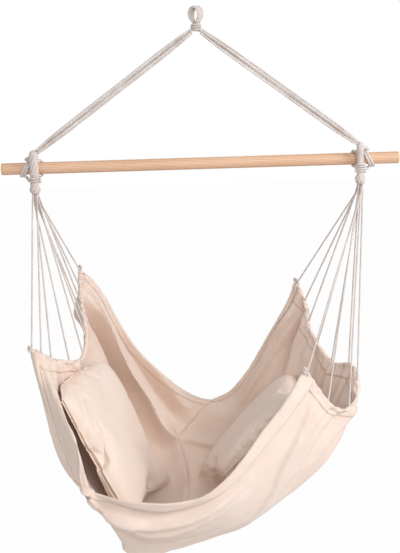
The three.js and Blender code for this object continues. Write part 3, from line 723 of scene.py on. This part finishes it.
# Fans of cords: from the necks to the side edges of the cloth
def add_fan(name, side):
    neck = np.array([side["x"], 0.0, neck_height])
    for i, share in enumerate(fan_end_shares):
        end = cloth_point(side["edge"], share)
        angle = fan_open_share * math.atan2(end[1], neck[2] - end[2])
        row = side["sign"] * ((fan_rows - 1) / 2 - i % fan_rows) * fan_row_offset
        way = np.array([0.0, math.sin(angle), -math.cos(angle)])
        inside = neck + way * neck_ball / 2
        lead = neck + way * fan_lead
        inside[0] += row
        lead[0] += row + (end[0] - neck[0]) * fan_lead / np.linalg.norm(neck - end) / 2
        line = cord_line([inside, lead, (lead + end) / 2, end], fine_step)
        line = trimmed(line, lambda p: np.linalg.norm(p - neck) > neck_ball
                       and np.linalg.norm(p - end) > edge_rope / 2)
        add_taut_cord(f"{name}_fan_{i + 1}", f"{name}_fan_cord_{i + 1}", "seat", line, fan_cord)


for side_name, side in sides.items():
    add_fan(side_name, side)


# Hanging loop: four cords side by side, bent into an eye
loop_cords = 4
loop_cord = 0.0056
loop_overlap = 1.04
loop_half_width = 0.016
loop_length = 0.038
loop_shares = [
    (0.23, -1.05), (0.30, -0.96), (0.62, -0.78), (0.96, -0.52), (0.96, -0.24), (0.58, -0.02), (0.0, 0.08),
    (-0.58, -0.02), (-0.96, -0.24), (-0.96, -0.52), (-0.62, -0.78), (-0.30, -0.96), (-0.23, -1.05),
]


def loop_pinch(share):
    """How far apart the loop's cords lie: they close up towards the throat"""
    return float(np.interp(share, (-0.92, -0.45), (0.45, 1.0)))


def add_loop():
    turn = Matrix.Rotation(math.radians(-45), 3, "Z")
    meshes = []
    for i in range(loop_cords):
        depth = (i - (loop_cords - 1) / 2) * loop_cord
        line = cord_line([turn @ Vector((x * loop_half_width, depth * loop_pinch(z), z * loop_length))
                          for x, z in loop_shares], turn_step)
        meshes.append(laid_cord(f"loop_{i}", line, loop_cord * loop_overlap, lay_share=whip_lay))
    add_cotton("loop_of_cords", joined("loop_of_cords", meshes), "hook_loop", "hanging_loop")


def wound_line(centre, turns, radius_at):
    """A whipping's line round an upright axis, where the radius follows the height"""
    steps = 36
    line = []
    for step in range(turns * steps + 1):
        angle = 2 * math.pi * step / steps
        height = whip_pitch * (step / steps - turns / 2)
        radius = radius_at(height)
        line.append(centre + np.array([radius * math.cos(angle), radius * math.sin(angle), height]))
    return even_line(np.array(line), turn_step)


def add_throat():
    radius, turns = 0.0125, 3
    bm = bmesh.new()
    bmesh.ops.create_uvsphere(bm, u_segments=32, v_segments=20, radius=radius - whip_cord / 2 - 2 * touch_gap)
    bmesh.ops.translate(bm, verts=bm.verts, vec=throat)
    bm.loops.layers.uv.new("UVMap")
    add_cotton("throat_ball", mesh_from(bm, "throat_ball"), "throat_middle", "throat_core")
    line = wound_line(throat, turns, lambda height: math.sqrt(radius**2 - height**2))
    winding = laid_cord("throat_wrap_cord", line, whip_cord, lay_share=whip_lay)
    add_cotton("throat_wrap_cord", winding, "throat_wrap", "throat_winding")


# Spreader bar
def add_bar():
    bm = bmesh.new()
    bmesh.ops.create_cone(bm, cap_ends=True, segments=64, radius1=bar_radius, radius2=bar_radius,
                          depth=bar_length)
    rims = [e for e in bm.edges if abs(e.verts[0].co.z - e.verts[1].co.z) < 1e-6 and not e.is_boundary]
    bmesh.ops.bevel(bm, geom=rims, offset=bar_round, offset_type="OFFSET", segments=5, profile=0.5,
                    affect="EDGES", material=-1)
    bmesh.ops.rotate(bm, verts=bm.verts, matrix=Matrix.Rotation(math.pi / 2, 3, "Y"))
    bmesh.ops.translate(bm, verts=bm.verts, vec=(0.0, bar_setback, -bar_drop))
    bar = add_piece("round_bar", mesh_from(bm, "round_bar"), pine, "bar", ["spreader_bar"])
    for face in bar.data.polygons:
        face.use_smooth = abs(face.normal.x) < 0.999


# Necks, their windings and the hitches round the bar
neck_stations = 60
least_neck = 0.0012


def add_neck(name, side):
    x, column = side["x"], side["column"]
    top = -bar_drop + column_rise
    heights = np.linspace(top + column, neck_height - neck_ball, neck_stations)
    shaft = np.sqrt(np.clip(column**2 - np.clip(heights - top, 0, None) ** 2, 0, None))
    shaft[heights < neck_height] = 0
    ball = np.sqrt(np.clip(neck_ball**2 - (heights - neck_height) ** 2, 0, None))
    widths = np.maximum(np.maximum(shaft, ball), least_neck) / neck_ball
    line = np.column_stack([np.full(neck_stations, x), np.zeros(neck_stations), heights])
    bundle = laid_cord(f"{name}_neck_bundle", line, 2 * neck_ball, lobes=8, depth=0.07, lay_share=6.0,
                       widths=widths)
    add_cotton(f"{name}_neck_bundle", bundle, "spreader", f"{name}_neck")
    low = neck_height + neck_ball + whip_cord / 2 + 2 * touch_gap
    middle = np.array([x, 0.0, low + side["turns"] * whip_pitch / 2])
    line = wound_line(middle, side["turns"], lambda height: column + touch_gap + whip_cord / 2)
    winding = laid_cord(f"{name}_neck_whipping", line, whip_cord, lay_share=whip_lay)
    add_cotton(f"{name}_neck_whipping", winding, "spreader", f"{name}_neck_winding")


ring_thickness = 0.014
ring_reach = 0.033
ring_lean = 0.45
strand_reach = 0.016
strand_opening = math.radians(35)
tie_step = 0.002
strand_sunk = 0.001


def add_hitch(name, side):
    """Two cords side by side round the bar, tied to the neck above and below, and a strand inside it"""
    sign, x, column = side["sign"], side["x"], side["column"]
    ring_radius = bar_radius + touch_gap + ring_thickness / 2
    cord = ring_thickness / 2
    closed_up = 0.42 * cord
    shift = sign * (ring_reach - ring_lean * ring_radius)
    meshes = []
    for k in (-0.5, 0.5):
        angles = np.linspace(0, 2 * math.pi, 72, endpoint=False)
        height = ring_radius * np.cos(angles)
        line = np.column_stack([
            x + shift - sign * ring_lean * height + k * cord * 1.02,
            bar_setback + (ring_radius - closed_up) * np.sin(angles),
            -bar_drop + height * (ring_radius - closed_up) / ring_radius,
        ])
        meshes.append(laid_cord(f"{name}_ring", line, cord, lay_share=rope_lay, closed=True))

    def strand(points):
        line = cord_line(points, tie_step)
        line = trimmed(line, lambda p: math.hypot(p[0] - x, p[1]) > column - strand_sunk)
        return laid_cord(f"{name}_strand", line, strand_cord, lay_share=rope_lay)

    for way in (1, -1):
        height = -bar_drop + way * ring_radius
        meshes.append(strand([
            (x + shift, bar_setback, height),
            (x + shift * 0.7, bar_setback / 2, height + way * ring_thickness / 3),
            (x, 0.0, height + way * ring_thickness / 2),
        ]))
    add_cotton(f"{name}_hitch_rope", joined(f"{name}_hitch_rope", meshes), "spreader", f"{name}_hitch_ring")
    radius = bar_radius + touch_gap + strand_cord / 2
    points = []
    for share in np.linspace(0, 1, 9):
        angle = strand_opening + share * (2 * math.pi - 2 * strand_opening)
        points.append((
            x - sign * strand_reach * math.sqrt(max(0.0, math.sin(math.pi * share))),
            bar_setback - radius * math.cos(angle),
            -bar_drop + radius * math.sin(angle),
        ))
    add_cotton(f"{name}_hitch_turn", strand(points), "spreader", f"{name}_hitch_strand")


add_loop()
add_throat()
add_bar()
for side_name, side in sides.items():
    add_neck(side_name, side)
    add_hitch(side_name, side)


# Edge ropes, with a knot at each corner
rope_points = 22
rope_step = 0.0035
knot_radius = 0.0068
knot_cord = 0.0058
knot_stand = 0.006


def knot_line(centre, radius):
    angles = np.linspace(0, 2 * math.pi, 90, endpoint=False)
    reach = radius * (0.62 + 0.34 * np.cos(3 * angles))
    return np.column_stack([
        centre[0] + radius * 0.42 * np.sin(3 * angles),
        centre[1] + reach * np.cos(2 * angles),
        centre[2] + reach * np.sin(2 * angles),
    ])


def add_edge_rope(name, side):
    line = cord_line([cloth_point(side["edge"], i / rope_points) for i in range(rope_points + 1)], rope_step)
    rope = laid_cord(f"{name}_border_rope", line, edge_rope, lay_share=rope_lay)
    add_cotton(f"{name}_border_rope", rope, "seat", f"{name}_edge_rope")
    for place, end, inner in (("back", 0, 1), ("front", -1, -2)):
        centre = line[end] + knot_stand * unit(line[end] - line[inner])
        knot = laid_cord(f"{name}_{place}_tied", knot_line(centre, knot_radius), knot_cord,
                         lay_share=whip_lay, closed=True)
        add_cotton(f"{name}_{place}_tied", knot, "seat", f"{name}_{place}_knot")


for side_name, side in sides.items():
    add_edge_rope(side_name, side)


# Cloth, with hems on its rims and sleeves on its side edges
strip_thickness = 0.0012
hem_rows = 7
hem_gap = 0.0022
sleeve_columns = 6
sleeve_gap = 0.0016
sleeve_wrap = math.radians(145)
sleeve_steps = 8


def add_canvas(name, grid, flat_size, thickness, nodes=()):
    piece = add_piece(name, gridded(name, grid, flat_size), seat_canvas, "seat", nodes)
    shell = piece.modifiers.new("thickness", "SOLIDIFY")
    shell.thickness = thickness
    shell.offset = 0.0
    shell.use_even_offset = False
    return piece


def wrapped_strip(part, facing, gap, turn):
    """Rows of points that go over one face of a strip of cloth, round its edge, which is at the end of
    each row, and back under its other face"""
    return np.concatenate([part + facing * gap, turn, (part - facing * gap)[:, ::-1]], axis=1)


def add_hem(name, rows):
    """The doubled hem along the back or the front rim, over rows of the cloth that end at the rim"""
    part, facing = (grid[rows].transpose(1, 0, 2) for grid in (surface, surface_normals))
    rim = part[:, -1] + unit(part[:, -1] - part[:, -2]) * hem_gap
    strip = wrapped_strip(part, facing, hem_gap, rim[:, None])
    return add_canvas(name, strip, (2 * hem_rows * cloth_length / cloth_rows, cloth_width), strip_thickness)


def add_sleeve(name, side, columns):
    """The doubled band along a side edge, which runs round the rope in it"""
    part, facing = (grid[:, columns] for grid in (surface, surface_normals))
    rope = np.array([cloth_point(side["edge"], i / cloth_rows) for i in range(cloth_rows + 1)])
    outward = unit(rope - part[:, -1])
    reach = edge_rope / 2 + strip_thickness
    turn = []
    for k in range(sleeve_steps + 1):
        angle = sleeve_wrap * (1 - 2 * k / sleeve_steps)
        turn.append(rope + reach * (outward * math.cos(angle) + facing[:, -1] * math.sin(angle)))
    strip = wrapped_strip(part[:, :-1], facing[:, :-1], sleeve_gap, np.stack(turn, axis=1))
    flat_size = (2 * sleeve_columns * cloth_width / cloth_columns, cloth_length)
    return add_canvas(f"{name}_sleeve", strip, flat_size, strip_thickness, [f"{name}_edge_band"])


def add_cloth():
    cloth = add_canvas("hung_cloth", surface, (cloth_width, cloth_length), cloth_thickness, ["seat_cloth"])
    strips = [
        add_hem("front_hem", slice(-hem_rows, None)),
        add_hem("back_hem", slice(hem_rows - 1, None, -1)),
        add_sleeve("left", sides["left"], slice(sleeve_columns - 1, None, -1)),
        add_sleeve("right", sides["right"], slice(-sleeve_columns, None)),
    ]


add_cloth()


# Cushions: a stuffed square cover, pressed against the cloth
cover_cells = 60
cover_side = 0.46
cover_gap = 0.012
stuffing_frames = 26
stuffing_settings = {
    "quality": 6, "mass": 0.25, "tension_stiffness": 30, "compression_stiffness": 30, "shear_stiffness": 8,
    "bending_stiffness": 0.3, "air_damping": 4, "use_pressure": True, "uniform_pressure_force": 5.0,
}
crown_power = 0.42
least_thickness = 0.05
press_reach = 0.014
press_slope = 0.18
press_depth = 0.09
rest_reach = (0.190, 0.192)
rest_gap = 0.003
rest_rounds = 6
lift_rounds = 3
pucker_points = 24
seam_step = 0.003
lip_thickness = 0.0046
lip_stand = 0.0012
zip_thickness = 0.0042
zip_sunk = 0.001


def cover_mesh(name):
    """A flat square cover with two layers and a seam round it"""
    bm = bmesh.new()
    bmesh.ops.create_grid(bm, x_segments=cover_cells, y_segments=cover_cells, size=cover_side / 2)
    bmesh.ops.solidify(bm, geom=bm.faces[:] + bm.verts[:] + bm.edges[:], thickness=cover_gap)
    heights = [vert.co.z for vert in bm.verts]
    bmesh.ops.translate(bm, verts=bm.verts, vec=(0.0, 0.0, -(min(heights) + max(heights)) / 2))
    bmesh.ops.recalc_face_normals(bm, faces=bm.faces)
    return mesh_from(bm, name)


def vertex_places(mesh):
    points = np.empty(3 * len(mesh.vertices))
    mesh.vertices.foreach_get("co", points)
    return points.reshape(-1, 3)


def stuffed_places(pillow):
    """The places of a cover's points once it is stuffed: cloth under pressure, with no weight"""
    cloth = pillow.modifiers.new("stuffing", "CLOTH")
    for setting, value in stuffing_settings.items():
        setattr(cloth.settings, setting, value)
    cloth.settings.effector_weights.gravity = 0
    cloth.point_cache.frame_start = 1
    cloth.point_cache.frame_end = stuffing_frames
    for number in range(1, stuffing_frames + 1):
        bpy.context.scene.frame_set(number)
    stuffed = evaluated_mesh(pillow)
    points = vertex_places(stuffed)
    bpy.data.meshes.remove(stuffed)
    bpy.context.scene.frame_set(1)
    return points


def inflated(name):
    """A stuffed cover: its bmesh, its points' places, and their shares and layer on the flat cover"""
    mesh = cover_mesh(name)
    flat = vertex_places(mesh)
    pillow = new_object(name, mesh)
    points = stuffed_places(pillow)
    bm = bmesh.new()
    bm.from_mesh(mesh)
    bpy.data.objects.remove(pillow)
    bpy.data.meshes.remove(mesh)
    return bm, points, 2 * flat[:, :2] / cover_side, np.sign(flat[:, 2])


def evened(bm, field, rounds):
    """A field on the points, evened out between neighbours"""
    pairs = np.array([(e.verts[0].index, e.verts[1].index) for e in bm.edges])
    count = np.bincount(pairs.ravel(), minlength=len(bm.verts))
    for _ in range(rounds):
        total = np.zeros_like(field)
        np.add.at(total, pairs[:, 0], field[pairs[:, 1]])
        np.add.at(total, pairs[:, 1], field[pairs[:, 0]])
        field = 0.5 * field + 0.5 * total / count
    return field


def rest_under(place, turn, points):
    """How high the cloth under a cushion reaches at each point, where it spans the hollows between folds"""
    samples = (surface[::2, ::2].reshape(-1, 3) - place) @ turn.T
    facing = surface_normals[::2, ::2].reshape(-1, 3) @ turn[2] > 0
    under = (np.abs(samples[:, :2]) < rest_reach).all(1) & (np.abs(samples[:, 2]) < press_depth)
    samples = samples[facing & under]
    heights = np.empty(len(points))
    batch = 400
    for start in range(0, len(points), batch):
        part = points[start : start + batch, None, :2]
        aside = np.linalg.norm(samples[None, :, :2] - part, axis=2)
        drawn = samples[:, 2] - press_slope * np.clip(aside - press_reach, 0, None)
        heights[start : start + batch] = drawn.max(1)
    return heights


def side_run(flat, face, points, side, axis, layer):
    """The points of one side of a cover's seam, in order, from its upper or its lower layer"""
    picked = np.nonzero((np.abs(flat[:, axis] - side) < 1e-6) & (face == layer))[0]
    return points[picked[np.argsort(flat[picked, 1 - axis])]]


def add_seams(name, flat, face, points, turn):
    """Lips along the opened side with the zip between them, and piping along the other sides"""
    body = f"{name}_cushion"
    upper, lower = (side_run(flat, face, points, -1, 1, layer) for layer in (1, -1))
    middle = [(side_run(flat, face, points, side, axis, 1) + side_run(flat, face, points, side, axis, -1)) / 2
              for side, axis in ((-1, 0), (1, 1), (1, 0))]
    lines = [upper + lip_stand * (turn[2] - turn[1]), lower - lip_stand * (turn[2] + turn[1])]
    lines.append(np.concatenate([middle[0], middle[1][1:], middle[2][::-1][1:]]))
    lips = [laid_cord(f"{name}_lip", even_line(line, seam_step), lip_thickness, depth=0.0) for line in lines]
    add_piece(f"{name}_seams", joined(f"{name}_seams", lips), cover_canvas, body)
    line = even_line((upper + lower) / 2 - turn[1] * zip_sunk, seam_step)
    line = line[len(line) // 8 : -len(line) // 8]
    teeth = laid_cord(f"{name}_zip", line, zip_thickness, lobes=6, depth=0.05)
    add_piece(f"{name}_zip", teeth, zip_tape, body, [f"{name}_cushion_zip"])


def add_cushion(name, cushion):
    bm, points, flat, face = inflated(f"{name}_cushion")
    low, high = points.min(0), points.max(0)
    half = np.array([cushion_side / 2, cushion_side / 2, cushion_thickness / 2])
    points = (points - (low + high) / 2) / ((high - low) / 2) * half
    long_way = Vector(cushion["long_way"]).normalized()
    up = long_way.cross(Vector(cushion["wide_way"])).normalized()
    turn = np.array([long_way, up.cross(long_way).normalized(), up])
    place = np.array(cushion["place"])
    points[:, 0] -= cushion["swell"] * ((1 - flat[:, 0]) / 2) ** 4 * (1 - flat[:, 1] ** 2)
    end, narrowing = cushion["narrow"]
    points[:, 1] *= 1 - narrowing * ((1 + end * flat[:, 0]) / 2) ** 2
    for end, edge, tuck, steepness in cushion["tucks"]:
        corner = (((1 + end * flat[:, 0]) / 2) * ((1 + edge * flat[:, 1]) / 2)) ** steepness
        points[:, :2] -= tuck * corner[:, None] * (end, edge)
    for line, width, depth in cushion["puckers"]:
        run = smooth_line(line, np.linspace(0, 1, pucker_points))
        away = np.linalg.norm(points[:, None, :2] - run[None], axis=2).min(1)
        points[:, 2] -= np.where(face > 0, depth * np.clip(1 - away / width, 0, 1) ** 1.3, 0.0)
    crown = np.clip((1 - flat[:, 0] ** 2) * (1 - flat[:, 1] ** 2), 0, 1) ** crown_power
    padding = np.where(face > 0, least_thickness * crown, 0.0)
    rest = evened(bm, rest_under(place, turn, points), rest_rounds)
    lift = np.clip(rest + rest_gap + padding - points[:, 2], 0, None)
    points[:, 2] += evened(bm, lift, lift_rounds)
    bm.verts.ensure_lookup_table()
    for vert, point in zip(bm.verts, points @ turn + place):
        vert.co = point
    mesh = mesh_from(bm, f"{name}_cushion")
    layer = mesh.uv_layers.new(name="UVMap")
    for loop in mesh.loops:
        layer.data[loop.index].uv = points[loop.vertex_index][:2]
    add_seams(name, flat, face, points @ turn + place, turn)
    pillow = add_piece(f"{name}_pillow", mesh, cover_canvas, f"{name}_cushion",
                       [f"{name}_cushion_cover", f"{name}_cushion_filling"])
    round_off = pillow.modifiers.new("smoothing", "SUBSURF")
    round_off.levels = 1
    round_off.render_levels = 1


for cushion_name, cushion in cushions.items():
    add_cushion(cushion_name, cushion)


# Floor, world and lamps
floor_height = -2.2
floor_glow = 0.97
world_light = 0.52
lamp_target = Vector((0.0, 0.0, -0.9))


def add_floor():
    bm = bmesh.new()
    bmesh.ops.create_grid(bm, x_segments=1, y_segments=1, size=20.0)
    bmesh.ops.translate(bm, verts=bm.verts, vec=(0.0, 0.0, floor_height))
    mesh = mesh_from(bm, "floor")
    finish = Finish("pale floor", {"Roughness": 0.9, "Base Color": (0.85, 0.85, 0.85, 1.0)})
    glow = finish.node("ShaderNodeEmission", {}, {"Color": white, "Strength": 1.0})
    lit = Value(finish, finish.shader.outputs[0])
    mixed = finish.node("ShaderNodeMixShader", {}, {0: finish.seen_rays() * floor_glow, 1: lit, 2: glow})
    finish.feed(finish.tree.nodes["Material Output"].inputs["Surface"], mixed)
    mesh.materials.append(finish.material)
    new_object("floor", mesh)


def add_world():
    world = bpy.data.worlds.new("studio")
    world.use_nodes = True
    world.node_tree.nodes.clear()
    nodes = Nodes(world.node_tree)
    soft, plain = (nodes.node("ShaderNodeBackground", {}, {"Color": white, "Strength": strength})
                   for strength in (world_light, 1.0))
    mixed = nodes.node("ShaderNodeMixShader", {}, {0: nodes.seen_rays(), 1: soft, 2: plain})
    nodes.feed(nodes.tree.nodes.new("ShaderNodeOutputWorld").inputs["Surface"], mixed)
    bpy.context.scene.world = world


def add_lamp(name, place, size, power):
    data = bpy.data.lights.new(name, "AREA")
    data.shape = "SQUARE"
    data.size = size
    data.energy = power
    turn = (Vector(place) - lamp_target).to_track_quat("Z", "Y").to_matrix().to_4x4()
    new_object(name, data).matrix_world = Matrix.Translation(place) @ turn


add_floor()
add_world()
add_lamp("key", (3.6, -2.0, 1.2), 1.4, 96)
add_lamp("fill", (0.9, -4.2, 1.0), 2.2, 72)

bpy.context.scene.view_settings.view_transform = "Standard"
